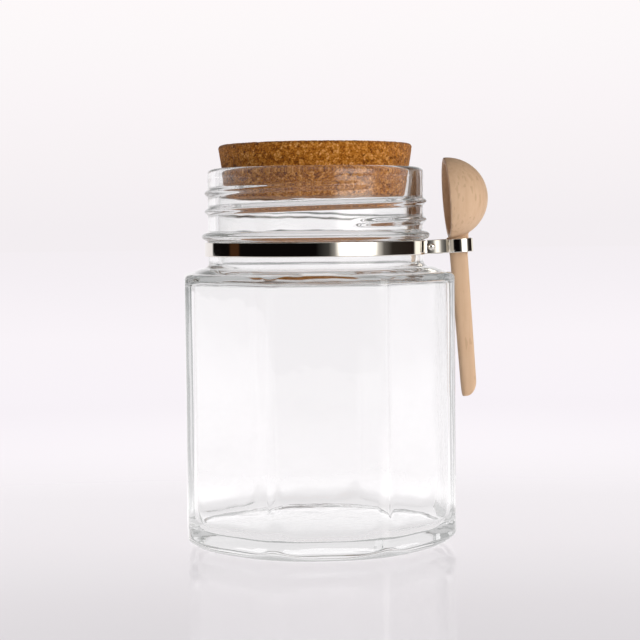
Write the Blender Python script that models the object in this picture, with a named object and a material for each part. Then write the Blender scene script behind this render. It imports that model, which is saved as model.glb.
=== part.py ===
"""A glass spice jar with a cork stopper, and a wooden spoon that hangs in a steel ring on the jar's neck.

The jar stands on z = 0 with its axis on the Z axis, and is seen from -Y. Its body is an octagon
with rounded edges, its neck is round, and the ring with the spoon is on the +X side, turned a
little towards the back.
"""

import math

import bmesh
import bpy
from mathutils import Matrix, Vector

# Body of the jar
SIDES = 8
BODY_APOTHEM = 0.0417
BODY_EDGE_RADIUS = 0.0062
BODY_TURN = math.radians(27.5)
WALL = 0.0030
HEEL_RADIUS = 0.0030
HEEL_EDGE_RADIUS = 0.0330
HEEL_BLEND_HEIGHT = 0.0042
FLOOR_THICKNESS = 0.0052
FLOOR_DIP = 0.0004
INNER_HEEL_RADIUS = 0.0045
INNER_HEEL_BLEND_HEIGHT = 0.0130
INNER_EDGE_RADIUS = 0.0044
SHOULDER_Z = 0.0849
SHOULDER_RADIUS = 0.0018
SHOULDER_RISE = 0.0015
SHOULDER_ARC_END = 84
SHOULDER_EDGE_GROWTH = 0.25
SHOULDER_UNDERSIDE_Z = 0.0827
INNER_SHOULDER_RADIUS = 0.0015
INNER_SHOULDER_ARC_START = 70

# Neck of the jar
NECK_RADIUS = 0.0340
NECK_BORE = 0.0302
NECK_FOOT_FILLET = 0.0017
THROAT_HEIGHT = 0.0045
THROAT_FLARE = 0.0012
THROAT_FLARE_HEIGHT = 0.0018
RIM_Z = 0.1174
RIM_ROUNDING = 0.0015
MOUTH_ROUNDING = 0.0008
BEAD_RADIUS = 0.0361
BEAD_Z = 0.0963
BEAD_HALF_HEIGHT = 0.00145
BEAD_FOOT_SHARE = 1.12
BEAD_ARC = 78

# Screw thread
THREAD_HEIGHT = 0.0011
THREAD_WIDTH = 0.0031
THREAD_PITCH = 0.0057
THREAD_FRONT_Z = 0.0998
THREAD_START = math.radians(17)
THREAD_END = math.radians(751)
THREAD_FADE = math.radians(28)
THREAD_SINK = 0.0004
THREAD_ROOT_DEPTH = 0.0012
THREAD_SECTION = (-0.5, -0.31, -0.12, 0.12, 0.31, 0.5)

# Cork stopper
CORK_TOP_Z = 0.1249
CORK_BOTTOM_Z = 0.1082
CORK_TOP_RADIUS = 0.0305
CORK_BOTTOM_RADIUS = 0.0282
CORK_EDGE = 0.0012

# Steel strip round the neck, and the ring beside it
HOLDER_TURN = math.radians(7.0)
STRIP_THICKNESS = 0.0005
STRIP_WIDTH = 0.0044
BAND_RADIUS = 0.0349
BAND_Z = 0.0923
BAND_BEND = 0.00055
TAB_OFFSET = 0.0005
TAB_END_X = 0.0405
RING_X = 0.0459
RING_RADIUS = 0.00437
ARM_OFFSET = 0.0013
ARM_START_X = 0.0356
HOLDER_TILT = math.radians(2.5)
RIVET_X = 0.0368
RIVET_SHANK = 0.0006
RIVET_HOLE = 0.0009
RIVET_HEAD = 0.00112
RIVET_HEAD_HEIGHT = 0.00055
RIVET_HEAD_GAP = 0.0003
RIVET_RIM_SHARE = 0.4
RIVET_CROWN_SHARE = 0.6

# Wooden spoon, in its own frame: bowl centre at the origin, handle down -Z, opening towards -X
SPOON_CENTRE = Vector((0.0417, 0.0055, 0.1077))
SPOON_LEAN = math.radians(4.0)
SPOON_TURN = math.radians(1.4)
BOWL_DEPTH = 0.0132
BOWL_HALF_WIDTH = 0.0128
BOWL_HALF_HEIGHT = 0.0130
BOWL_WALL = 0.0017
BOWL_RIM_EASE = 0.0004
BOWL_RIM_RISE = 0.0003
HANDLE_X = 0.0026
HANDLE_TOP_Z = -0.0124
HANDLE_TOP_SLOPE = 0.25
HANDLE_TOP_SLOPE_SHARE = 0.05
HANDLE_TOP_SPREAD = 0.0007
HANDLE_TOP_SPREAD_SHARE = 0.12
HANDLE_END_Z = -0.0636
HANDLE_TIP_LENGTH = 0.0050
HANDLE_HALF_WIDTH = 0.0029
HANDLE_END_HALF_WIDTH = 0.0025
HANDLE_HALF_DEPTH = 0.0021
HANDLE_SQUARENESS = 0.7
HANDLE_STATIONS = (0.0, 0.06, 0.14, 0.35, 0.65, 0.9)
TIP_WIDTH_SHARE = 0.25
TIP_DEPTH_SHARE = 0.45
TIP_SHIFT_SHARE = 0.6

# Fineness of the round shapes
SIDE_STEPS = 8
RING_POINTS = SIDES * SIDE_STEPS
HOLE_EVERY = SIDE_STEPS // 2
THREAD_STEPS_PER_TURN = 56
LOOP_STEPS = 32
BOWL_AROUND = 32
BOWL_DOWN = 8
HANDLE_AROUND = 16
TIP_STEPS = 4
MITRE_LIMIT = 0.5

CUTTER_MARGIN = 0.004


def material(name, colour, roughness, metallic=0.0, transmission=0.0):
    made = bpy.data.materials.new(name)
    made.use_nodes = True
    shader = made.node_tree.nodes["Principled BSDF"]
    shader.inputs["Base Color"].default_value = (*colour, 1.0)
    shader.inputs["Roughness"].default_value = roughness
    shader.inputs["Metallic"].default_value = metallic
    shader.inputs["Transmission Weight"].default_value = transmission
    return made


def add_object(name, mesh_builder, look):
    """One named object from a bmesh, with its faces turned outwards and round parts shaded smooth."""
    bmesh.ops.recalc_face_normals(mesh_builder, faces=mesh_builder.faces)
    mesh = bpy.data.meshes.new(name)
    mesh_builder.to_mesh(mesh)
    mesh_builder.free()
    mesh.materials.append(look)
    mesh.shade_smooth()
    mesh.set_sharp_from_angle(angle=math.radians(35))
    made = bpy.data.objects.new(name, mesh)
    bpy.context.scene.collection.objects.link(made)
    return made


def as_cutter(made):
    """A helper shape for a Boolean, which isn't a piece of the object."""
    made.hide_render = True
    made.display_type = "WIRE"
    return made


def boolean(target, other, operation):
    modifier = target.modifiers.new(operation.title() + " " + other.name, "BOOLEAN")
    modifier.operation = operation
    modifier.object = as_cutter(other)


def blend(low, high, share):
    """From low to high as share goes from 0 to 1, slowly at both ends."""
    share = min(max(share, 0.0), 1.0)
    return low + (high - low) * share * share * (3 - 2 * share)


def arc(centre_r, centre_z, radius, start, end, steps):
    """Points (r, z) on an arc of a profile, with angles in degrees from the outward direction."""
    angles = [math.radians(start + (end - start) * i / steps) for i in range(steps + 1)]
    return [(centre_r + radius * math.cos(a), centre_z + radius * math.sin(a)) for a in angles]


def octagon_ring(apothem, edge_radius, z):
    """A closed ring of points: an octagon with rounded corners, a circle if edge_radius is the apothem."""
    edge_radius = min(edge_radius, apothem)
    half_angle = math.pi / SIDES
    corner_distance = (apothem - edge_radius) / math.cos(half_angle)
    flat_half = (apothem - edge_radius) * math.tan(half_angle)
    arc_share = 0.5 + 0.5 * edge_radius / apothem
    points = []
    for side in range(SIDES):
        heading = BODY_TURN + side * 2 * half_angle
        outward = Vector((math.sin(heading), -math.cos(heading), 0))
        along = Vector((math.cos(heading), math.sin(heading), 0))
        for step in range(SIDE_STEPS):
            place = 2 * step / SIDE_STEPS - 1
            bend = half_angle * min(max(place / arc_share, -1), 1)
            point = outward * (corner_distance + edge_radius * math.cos(bend))
            point += along * edge_radius * math.sin(bend)
            past = abs(place) - arc_share
            if past > 0:
                flat = along * math.cos(half_angle) - outward * math.sin(half_angle)
                if place < 0:
                    flat = -along * math.cos(half_angle) - outward * math.sin(half_angle)
                point += flat * flat_half * past / (1 - arc_share)
            points.append(Vector((point.x, point.y, z)))
    return points


def loft(rings, start=None, end=None):
    """A bmesh through rings of equal length, each end closed by one face or by a fan to a given point."""
    mesh_builder = bmesh.new()
    rows = [[mesh_builder.verts.new(point) for point in ring] for ring in rings]
    count = len(rows[0])
    for lower, upper in zip(rows, rows[1:]):
        for i in range(count):
            j = (i + 1) % count
            mesh_builder.faces.new((lower[i], lower[j], upper[j], upper[i]))
    for row, tip in ((rows[0], start), (rows[-1], end)):
        if tip is None:
            mesh_builder.faces.new(row)
            continue
        centre = mesh_builder.verts.new(tip)
        for i in range(count):
            mesh_builder.faces.new((row[i], row[(i + 1) % count], centre))
    return mesh_builder


def turned(profile):
    """Rings round the Z axis from a profile of (r, z) points."""
    return [octagon_ring(r, r, z) for r, z in profile]


def body_edge_radius(z):
    """The radius of the body's upright edges, which grows towards the foot."""
    return blend(HEEL_EDGE_RADIUS, BODY_EDGE_RADIUS, z / HEEL_BLEND_HEIGHT)


def outer_rings():
    """The outside of the jar, from the foot up to the top of the rim."""
    foot = BODY_APOTHEM - HEEL_RADIUS
    heel = arc(foot, HEEL_RADIUS, HEEL_RADIUS, -90, 0, 4)
    rings = [octagon_ring(r, body_edge_radius(z), z) for r, z in heel]
    rings.append(octagon_ring(BODY_APOTHEM, BODY_EDGE_RADIUS, HEEL_BLEND_HEIGHT))

    edge_r = BODY_APOTHEM - SHOULDER_RADIUS
    edge_z = SHOULDER_Z - SHOULDER_RADIUS
    for r, z in arc(edge_r, edge_z, SHOULDER_RADIUS, 0, SHOULDER_ARC_END, 4):
        growth = SHOULDER_EDGE_GROWTH * (BODY_APOTHEM - r) / SHOULDER_RADIUS
        rings.append(octagon_ring(r, BODY_EDGE_RADIUS + growth * BODY_APOTHEM, z))

    fillet_r = NECK_RADIUS + NECK_FOOT_FILLET
    fillet_z = SHOULDER_Z + SHOULDER_RISE + NECK_FOOT_FILLET
    middle_r = (edge_r + fillet_r) / 2
    rings.append(octagon_ring(middle_r, 0.75 * middle_r, SHOULDER_Z + 0.55 * SHOULDER_RISE))
    rings += turned(arc(fillet_r, fillet_z, NECK_FOOT_FILLET, 270, 180, 3))

    profile = [(NECK_RADIUS, BEAD_Z - BEAD_FOOT_SHARE * BEAD_HALF_HEIGHT)]
    for r, z in arc(0, 0, 1, -BEAD_ARC, BEAD_ARC, 6):
        profile.append((NECK_RADIUS + (BEAD_RADIUS - NECK_RADIUS) * r, BEAD_Z + BEAD_HALF_HEIGHT * z))
    profile.append((NECK_RADIUS, BEAD_Z + BEAD_FOOT_SHARE * BEAD_HALF_HEIGHT))
    profile += arc(NECK_RADIUS - RIM_ROUNDING, RIM_Z - RIM_ROUNDING, RIM_ROUNDING, 0, 90, 3)
    return rings + turned(profile)


def inner_rings():
    """The inside of the jar, from the mouth down to the floor."""
    profile = arc(NECK_BORE + MOUTH_ROUNDING, RIM_Z - MOUTH_ROUNDING, MOUTH_ROUNDING, 90, 180, 2)
    profile.append((NECK_BORE, SHOULDER_UNDERSIDE_Z + THROAT_HEIGHT))
    profile.append((NECK_BORE + THROAT_FLARE, SHOULDER_UNDERSIDE_Z + THROAT_FLARE_HEIGHT))
    rings = turned(profile)

    apothem = BODY_APOTHEM - WALL
    corner = INNER_SHOULDER_RADIUS
    middle_r = (NECK_BORE + apothem) / 2
    rings.append(octagon_ring(middle_r, 0.6 * middle_r, SHOULDER_UNDERSIDE_Z))
    corner_z = SHOULDER_UNDERSIDE_Z - corner
    for r, z in arc(apothem - corner, corner_z, corner, INNER_SHOULDER_ARC_START, 0, 3):
        growth = SHOULDER_EDGE_GROWTH * (apothem - r) / corner
        rings.append(octagon_ring(r, INNER_EDGE_RADIUS + growth * apothem, z))

    rings.append(octagon_ring(apothem, INNER_EDGE_RADIUS, INNER_HEEL_BLEND_HEIGHT))
    heel_z = FLOOR_THICKNESS + INNER_HEEL_RADIUS
    for r, z in arc(apothem - INNER_HEEL_RADIUS, heel_z, INNER_HEEL_RADIUS, 0, -82, 4):
        edge_radius = blend(HEEL_EDGE_RADIUS, INNER_EDGE_RADIUS, z / INNER_HEEL_BLEND_HEIGHT)
        rings.append(octagon_ring(r, edge_radius, z))
    floor = 0.55 * (apothem - INNER_HEEL_RADIUS)
    rings.append(octagon_ring(floor, floor, FLOOR_THICKNESS - FLOOR_DIP))
    return rings


def thread_height(angle):
    """How far the thread stands out at this angle along it: nothing at its ends, all of it between them."""
    from_end = min(angle - THREAD_START, THREAD_END - angle)
    return blend(-THREAD_SINK, THREAD_HEIGHT, from_end / THREAD_FADE)


def thread_ridge(look):
    """The screw thread as one rounded ridge along a helix, its root inside the neck's wall."""
    steps = round((THREAD_END - THREAD_START) / (2 * math.pi) * THREAD_STEPS_PER_TURN)
    root = NECK_RADIUS - THREAD_ROOT_DEPTH
    rings = []
    for step in range(steps + 1):
        angle = THREAD_START + (THREAD_END - THREAD_START) * step / steps
        outward = Vector((math.sin(angle), -math.cos(angle), 0))
        middle = THREAD_FRONT_Z + THREAD_PITCH * angle / (2 * math.pi)
        height = thread_height(angle)
        section = [(root, THREAD_SECTION[0])]
        for side in THREAD_SECTION:
            rise = math.cos(math.pi * side) ** 2
            section.append((NECK_RADIUS - THREAD_SINK + (height + THREAD_SINK) * rise, side))
        section.append((root, THREAD_SECTION[-1]))
        rings.append([outward * r + Vector((0, 0, middle + THREAD_WIDTH * side)) for r, side in section])
    return add_object("thread_ridge", loft(rings), look)


def make_jar(look):
    """The jar as one closed surface of glass, with the thread joined to its neck."""
    rings = outer_rings() + inner_rings()
    floor_middle = Vector((0, 0, FLOOR_THICKNESS - FLOOR_DIP))
    jar = add_object("jar", loft(rings, start=Vector((0, 0, 0)), end=floor_middle), look)
    boolean(jar, thread_ridge(look), "UNION")
    return jar


def make_stopper(look):
    """A plug of pressed cork, narrower downwards, with its edges lightly eased."""
    low = arc(CORK_BOTTOM_RADIUS - CORK_EDGE, CORK_BOTTOM_Z + CORK_EDGE, CORK_EDGE, -90, 0, 2)
    high = arc(CORK_TOP_RADIUS - CORK_EDGE, CORK_TOP_Z - CORK_EDGE, CORK_EDGE, 0, 90, 2)
    return add_object("stopper", loft(turned(low + high)), look)


def strip(points, z_middle):
    """A bent strip standing on edge: a line in plan, given its thickness and width."""
    sides = []
    for i, point in enumerate(points):
        before = points[max(i - 1, 0)]
        after = points[min(i + 1, len(points) - 1)]
        first = (point - before).normalized() if i else (after - point).normalized()
        second = (after - point).normalized() if i < len(points) - 1 else first
        along = (first + second).normalized()
        across = Vector((along.y, -along.x)) / max(along.dot(first), MITRE_LIMIT)
        sides.append((point + across * STRIP_THICKNESS / 2, point - across * STRIP_THICKNESS / 2))
    low = z_middle - STRIP_WIDTH / 2
    high = z_middle + STRIP_WIDTH / 2
    rings = [[(*a, low), (*b, low), (*b, high), (*a, high)] for a, b in sides]
    return loft([[Vector(point) for point in ring] for ring in rings])


def round_line(centre, radius, start, end, steps):
    """Points in plan on an arc, with angles in radians from +X."""
    angles = [start + (end - start) * i / steps for i in range(steps + 1)]
    return [centre + radius * Vector((math.cos(a), math.sin(a))) for a in angles]


def turn_to_back(made, own_place=None):
    """Turn a piece that was made on the +X side round the jar's axis, to where the spoon hangs."""
    made.matrix_world = Matrix.Rotation(HOLDER_TURN, 4, "Z") @ (own_place or Matrix())


def rivet_hole(name, look):
    hole = octagon_ring(RIVET_HOLE, RIVET_HOLE, 0)[::HOLE_EVERY]
    ends = (-CUTTER_MARGIN, CUTTER_MARGIN)
    rings = [[Vector((RIVET_X + p.x, y, BAND_Z + p.y)) for p in hole] for y in ends]
    made = add_object(name, loft(rings), look)
    turn_to_back(made)
    return made


def make_neck_band(look):
    """The strip that clasps the neck under the bead, with both its ends bent outwards."""
    bend_y = -TAB_OFFSET - BAND_BEND
    bend_x = math.sqrt((BAND_RADIUS + BAND_BEND) ** 2 - bend_y**2)
    leave = math.atan2(-bend_y, bend_x)
    front_bend = round_line(Vector((bend_x, bend_y)), BAND_BEND, math.pi / 2, math.pi - leave, 4)
    half = [Vector((TAB_END_X, -TAB_OFFSET))] + front_bend
    back_half = [Vector((p.x, -p.y)) for p in reversed(half)]
    circle = round_line(Vector((0, 0)), BAND_RADIUS, -leave, leave - 2 * math.pi, RING_POINTS)
    band = add_object("neck_band", strip(half + circle[1:-1] + back_half, BAND_Z), look)
    turn_to_back(band)
    boolean(band, rivet_hole("band_rivet_hole", look), "DIFFERENCE")
    return band


def make_spoon_holder(look):
    """The ring for the spoon: a strip bent to a loop, its two arms outside the ends of the band."""
    reach = math.asin(ARM_OFFSET / RING_RADIUS)
    loop = round_line(Vector((RING_X, 0)), RING_RADIUS, math.pi + reach, 3 * math.pi - reach, LOOP_STEPS)
    line = [Vector((ARM_START_X, -ARM_OFFSET))] + loop + [Vector((ARM_START_X, ARM_OFFSET))]
    holder = add_object("spoon_holder", strip(line, BAND_Z), look)
    pivot = Matrix.Translation((RIVET_X, 0, BAND_Z))
    turn_to_back(holder, pivot @ Matrix.Rotation(-HOLDER_TILT, 4, "Y") @ pivot.inverted())
    boolean(holder, rivet_hole("holder_rivet_hole", look), "DIFFERENCE")
    return holder


def make_rivet(look):
    """The pin through the four strips, with a low domed head at each end."""
    head_y = ARM_OFFSET + STRIP_THICKNESS / 2 + RIVET_HEAD_GAP
    half = [(RIVET_SHANK, 0.0), (RIVET_SHANK, head_y), (RIVET_HEAD, head_y)]
    half.append((RIVET_HEAD, head_y + RIVET_RIM_SHARE * RIVET_HEAD_HEIGHT))
    half.append((RIVET_CROWN_SHARE * RIVET_HEAD, head_y + RIVET_HEAD_HEIGHT))
    profile = [(r, -y) for r, y in reversed(half[1:])] + half[1:]
    circle = octagon_ring(1, 1, 0)[::HOLE_EVERY]
    rings = [[Vector((RIVET_X + r * p.x, y, BAND_Z + r * p.y)) for p in circle] for r, y in profile]
    rivet = add_object("rivet", loft(rings), look)
    turn_to_back(rivet)
    return rivet


def bowl_shell():
    """Half an ellipsoid with a wall of even thickness, open towards -X."""
    outer = (BOWL_DEPTH, BOWL_HALF_WIDTH, BOWL_HALF_HEIGHT)
    inner = tuple(size - BOWL_WALL for size in outer)

    def ring(sizes, angle, shift=0.0):
        depth, width, height = sizes
        turn = [2 * math.pi * i / BOWL_AROUND for i in range(BOWL_AROUND)]
        spread = math.cos(angle)
        x = depth * math.sin(angle) + shift
        return [Vector((x, width * spread * math.cos(t), height * spread * math.sin(t))) for t in turn]

    angles = [0.5 * math.pi * i / BOWL_DOWN for i in range(BOWL_DOWN)]
    rings = [ring(outer, a) for a in reversed(angles)]
    rings.append(ring(tuple(size - BOWL_RIM_EASE for size in outer), 0.0, -BOWL_RIM_RISE))
    rings.append(ring(tuple(size + BOWL_RIM_EASE for size in inner), 0.0, -BOWL_RIM_RISE))
    rings += [ring(inner, a) for a in angles]
    return loft(rings, start=Vector((BOWL_DEPTH, 0, 0)), end=Vector((inner[0], 0, 0)))


def handle():
    """The flat stick of the spoon, slightly narrower downwards, with a slanting rounded end."""
    length = HANDLE_TOP_Z - HANDLE_END_Z
    tip_share = HANDLE_TIP_LENGTH / length
    stations = list(HANDLE_STATIONS)
    for i in range(TIP_STEPS):
        stations.append(1 - tip_share + tip_share * math.sin(0.5 * math.pi * i / TIP_STEPS))
    rings = []
    for share in stations:
        half_width = HANDLE_HALF_WIDTH + (HANDLE_END_HALF_WIDTH - HANDLE_HALF_WIDTH) * share
        half_width += HANDLE_TOP_SPREAD * (1 - blend(0, 1, share / HANDLE_TOP_SPREAD_SHARE))
        into_tip = max(share - (1 - tip_share), 0) / tip_share
        narrowing = math.sqrt(1 - into_tip**2)
        wide = half_width * (TIP_WIDTH_SHARE + (1 - TIP_WIDTH_SHARE) * narrowing)
        thick = HANDLE_HALF_DEPTH * (TIP_DEPTH_SHARE + (1 - TIP_DEPTH_SHARE) * narrowing)
        shift = -TIP_SHIFT_SHARE * half_width * (1 - narrowing)
        z = HANDLE_TOP_Z - length * share
        slope = HANDLE_TOP_SLOPE * (1 - min(share / HANDLE_TOP_SLOPE_SHARE, 1))
        ring = []
        for i in range(HANDLE_AROUND):
            turn = 2 * math.pi * i / HANDLE_AROUND
            side = math.copysign(abs(math.cos(turn)) ** HANDLE_SQUARENESS, math.cos(turn))
            deep = math.copysign(abs(math.sin(turn)) ** HANDLE_SQUARENESS, math.sin(turn))
            x = HANDLE_X + wide * side + shift
            ring.append(Vector((x, thick * deep, z + slope * x)))
        rings.append(ring)
    return loft(rings)


def make_spoon(look):
    """The wooden spoon, hung by its bowl in the ring, leaning a little outwards at its foot."""
    spoon = add_object("spoon", bowl_shell(), look)
    stick = add_object("spoon_handle", handle(), look)
    place = Matrix.Translation(SPOON_CENTRE)
    place @= Matrix.Rotation(-SPOON_LEAN, 4, "Y") @ Matrix.Rotation(SPOON_TURN, 4, "Z")
    spoon.matrix_world = place
    stick.matrix_world = place
    boolean(spoon, stick, "UNION")
    return spoon


def main():
    for leftover in list(bpy.data.objects):
        bpy.data.objects.remove(leftover)
    glass = material("clear_glass", (0.93, 0.95, 0.94), 0.02, transmission=1.0)
    cork = material("pressed_cork", (0.42, 0.23, 0.09), 0.85)
    steel = material("polished_steel", (0.72, 0.68, 0.63), 0.12, metallic=1.0)
    wood = material("pale_wood", (0.62, 0.44, 0.28), 0.6)
    make_jar(glass)
    make_stopper(cork)
    make_neck_band(steel)
    make_spoon_holder(steel)
    make_rivet(steel)
    make_spoon(wood)


main()
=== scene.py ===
# %% [markdown]
# A glass jar with a cork stopper and a little wooden spoon, standing on a glossy white board.
# The construction model is loaded first as a fixed frame. Every piece made below takes the place of
# one of its solids, keeps that solid's size, and adds the fine shape and the finish of the real one.

# %% Load the frame
import math

import bmesh
import bpy
import numpy as np
from mathutils import Matrix, Vector, noise


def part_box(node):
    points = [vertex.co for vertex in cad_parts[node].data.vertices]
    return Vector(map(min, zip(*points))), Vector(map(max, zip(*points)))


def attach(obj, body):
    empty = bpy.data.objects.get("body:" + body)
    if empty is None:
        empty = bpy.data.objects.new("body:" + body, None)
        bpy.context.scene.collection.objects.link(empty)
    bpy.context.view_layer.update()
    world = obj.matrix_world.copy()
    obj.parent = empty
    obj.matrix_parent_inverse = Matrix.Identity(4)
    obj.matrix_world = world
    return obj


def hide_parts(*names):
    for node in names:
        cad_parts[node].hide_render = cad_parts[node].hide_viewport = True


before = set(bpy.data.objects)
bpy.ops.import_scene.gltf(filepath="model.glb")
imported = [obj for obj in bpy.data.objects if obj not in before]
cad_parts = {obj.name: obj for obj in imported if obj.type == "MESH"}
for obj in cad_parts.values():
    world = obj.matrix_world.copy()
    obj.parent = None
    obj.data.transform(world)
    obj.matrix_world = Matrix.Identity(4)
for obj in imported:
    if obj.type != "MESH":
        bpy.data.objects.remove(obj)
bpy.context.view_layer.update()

# %% [markdown]
# The view is nearly level and from well away, so that the jar's rim and foot look almost flat.
# A long lens half a metre from the jar's axis gives just that. The camera leans by a little over half
# a degree, because the jar's upright edges lean by about as much in the picture.

# %% The camera
CAMERA_PLACE = Vector((0.0010, -0.5400, 0.0997))
CAMERA_PITCH = math.radians(3.195)
CAMERA_ROLL = math.radians(0.6)
CAMERA_LENS = 95.96
NEAREST_SEEN = 0.01

scene = bpy.context.scene
camera = bpy.data.objects.new("camera", bpy.data.cameras.new("camera"))
scene.collection.objects.link(camera)
camera.data.lens = CAMERA_LENS
camera.data.clip_start = NEAREST_SEEN
camera.matrix_world = (
    Matrix.Translation(CAMERA_PLACE)
    @ Matrix.Rotation(math.pi / 2 - CAMERA_PITCH, 4, "X")
    @ Matrix.Rotation(-CAMERA_ROLL, 4, "Z")
)
scene.camera = camera
scene.view_settings.view_transform = "Standard"
print("camera looks down by", round(math.degrees(CAMERA_PITCH), 2), "degrees")

# %% [markdown]
# Clear glass and polished steel show nothing but what stands round them, so the studio matters as much
# as the materials. The mirrored lights tell what it was like: a white wall behind the jar, a soft box to
# the front right and a dark room elsewhere. Lamps and cards could be set up one by one. Here the world
# itself is painted as that room, by the direction in which a ray leaves, which is quicker to tune.
# Its nodes are wired by a few small helpers, which the materials below use as well.

# %% Small helpers for node trees
def add_node(tree, kind, **settings):
    """A new node, with its properties and its input values set by name."""
    node = tree.nodes.new(kind)
    for name, value in settings.items():
        if hasattr(node, name):
            setattr(node, name, value)
        else:
            node.inputs[name.replace("_", " ")].default_value = value
    return node


def math_node(tree, operation, first, second=None):
    """A Math node on sockets or numbers, and its output."""
    node = tree.nodes.new("ShaderNodeMath")
    node.operation = operation
    for place, value in enumerate((first, second)):
        if isinstance(value, bpy.types.NodeSocket):
            tree.links.new(value, node.inputs[place])
        elif value is not None:
            node.inputs[place].default_value = value
    return node.outputs[0]


def ramp_node(tree, source, stops):
    """A Color Ramp from (place, colour) stops, and its colour output."""
    ramp = tree.nodes.new("ShaderNodeValToRGB")
    ramp.color_ramp.interpolation = "LINEAR"
    elements = ramp.color_ramp.elements
    while len(elements) < len(stops):
        elements.new(0.5)
    for element, (place, colour) in zip(elements, stops):
        element.position = place
        element.color = (*colour, 1.0)
    tree.links.new(source, ramp.inputs["Fac"])
    return ramp.outputs["Color"]


# A Mix node has sockets for every kind of value. These are the places of those for colours.
MIX_FACTOR = 0
MIX_FIRST = 6
MIX_SECOND = 7
MIX_RESULT = 2


def mix_colour(tree, factor, first, second, blend_type="MIX"):
    """A colour Mix node on sockets, numbers or colours, and its output."""
    node = tree.nodes.new("ShaderNodeMix")
    node.data_type = "RGBA"
    node.blend_type = blend_type
    for place, value in ((MIX_FACTOR, factor), (MIX_FIRST, first), (MIX_SECOND, second)):
        if isinstance(value, bpy.types.NodeSocket):
            tree.links.new(value, node.inputs[place])
        elif place == MIX_FACTOR:
            node.inputs[place].default_value = value
        else:
            node.inputs[place].default_value = (*value, 1.0)
    return node.outputs[MIX_RESULT]


def smooth_step(tree, value, start, end):
    """A value that rises softly from 0 to 1 between start and end."""
    step = add_node(tree, "ShaderNodeMapRange", interpolation_type="SMOOTHSTEP", From_Min=start, From_Max=end)
    tree.links.new(value, step.inputs["Value"])
    return step.outputs["Result"]


def product(tree, first, *others):
    """Several sockets or numbers multiplied together."""
    result = first
    for other in others:
        result = math_node(tree, "MULTIPLY", result, other)
    return result


# %% The room, by the direction of a ray
# Places round the room run from -180 to 180 degrees, with 0 towards the camera and 90 towards +X.
PAPER_WHITE = (0.99, 0.965, 0.98)
BROWN = (0.055, 0.022, 0.009)
BLACK = (0.004, 0.003, 0.003)
BACK_LIGHT = (1.3, 1.25, 1.15)
ROOM = (
    (-180, PAPER_WHITE), (-134, PAPER_WHITE), (-131, BLACK), (-100, BLACK), (-97, BROWN), (-86, BROWN),
    (-84, BLACK), (0, BLACK), (13, (0.06, 0.058, 0.055)), (27, (0.66, 0.64, 0.61)), (68, (0.60, 0.58, 0.55)),
    (73, (0.16, 0.15, 0.14)), (84, (0.03, 0.025, 0.02)), (120, (0.02, 0.012, 0.01)), (124, BACK_LIGHT),
    (136, BACK_LIGHT), (139, (0.45, 0.38, 0.25)), (144, PAPER_WHITE), (180, PAPER_WHITE),
)
UPPER_ROOM = (0.20, 0.195, 0.19)
UPPER_START = 0.14
UPPER_END = 0.34

world = bpy.data.worlds.new("studio")
scene.world = world
world.use_nodes = True
tree = world.node_tree
background = tree.nodes["Background"]
place = add_node(tree, "ShaderNodeTexCoord").outputs["Generated"]
direction = add_node(tree, "ShaderNodeSeparateXYZ")
tree.links.new(place, direction.inputs[0])
rise = direction.outputs["Z"]
toward_camera = math_node(tree, "MULTIPLY", direction.outputs["Y"], -1.0)
turn = math_node(tree, "ARCTAN2", direction.outputs["X"], toward_camera)
round_share = math_node(tree, "ADD", math_node(tree, "DIVIDE", turn, 2 * math.pi), 0.5)
room = ramp_node(tree, round_share, [((angle + 180) / 360, colour) for angle, colour in ROOM])
studio = mix_colour(tree, smooth_step(tree, rise, UPPER_START, UPPER_END), room, UPPER_ROOM)
print("the room has", len(ROOM), "stretches of light and dark")

# %% [markdown]
# The soft box would be one lamp in a real studio. It is painted in the world too, and may therefore have
# two strengths: a high one for rays that light the matt cork and wood, and a lower one for rays that
# see it mirrored, so that the steel isn't burnt out. A second, weaker light stands above the camera
# and a little to its right.

# %% The soft box and the light above
BOX_LIGHT = (5.6, 5.4, 5.15)
BOX_SEEN = (3.6, 3.5, 3.35)
BOX_MIDDLE = math.radians(43)
BOX_HALF_WIDTH = math.radians(25)
BOX_BLUR = math.radians(11)
BOX_TOP = 0.46
BOX_TOP_BLUR = 0.1
BOX_FOOT = -0.03
BOX_FOOT_BLUR = 0.02
TOP_LIGHT = (0.6, 0.585, 0.56)
TOP_LIGHT_MIDDLE = math.radians(15)
TOP_LIGHT_HALF_WIDTH = math.radians(45)
TOP_LIGHT_BLUR = math.radians(15)
TOP_LIGHT_FOOT = 0.35
TOP_LIGHT_HEAD = 0.92
TOP_LIGHT_RISE_BLUR = 0.1
DARK = (0.0, 0.0, 0.0)
ANY_BOUNCE = 0.5


def across(middle, half_width, blur):
    """1 inside a stretch of the room, counted in angle from its middle, with soft sides."""
    away = math_node(tree, "ABSOLUTE", math_node(tree, "SUBTRACT", turn, middle))
    return smooth_step(tree, away, half_width, half_width - blur)


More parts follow.
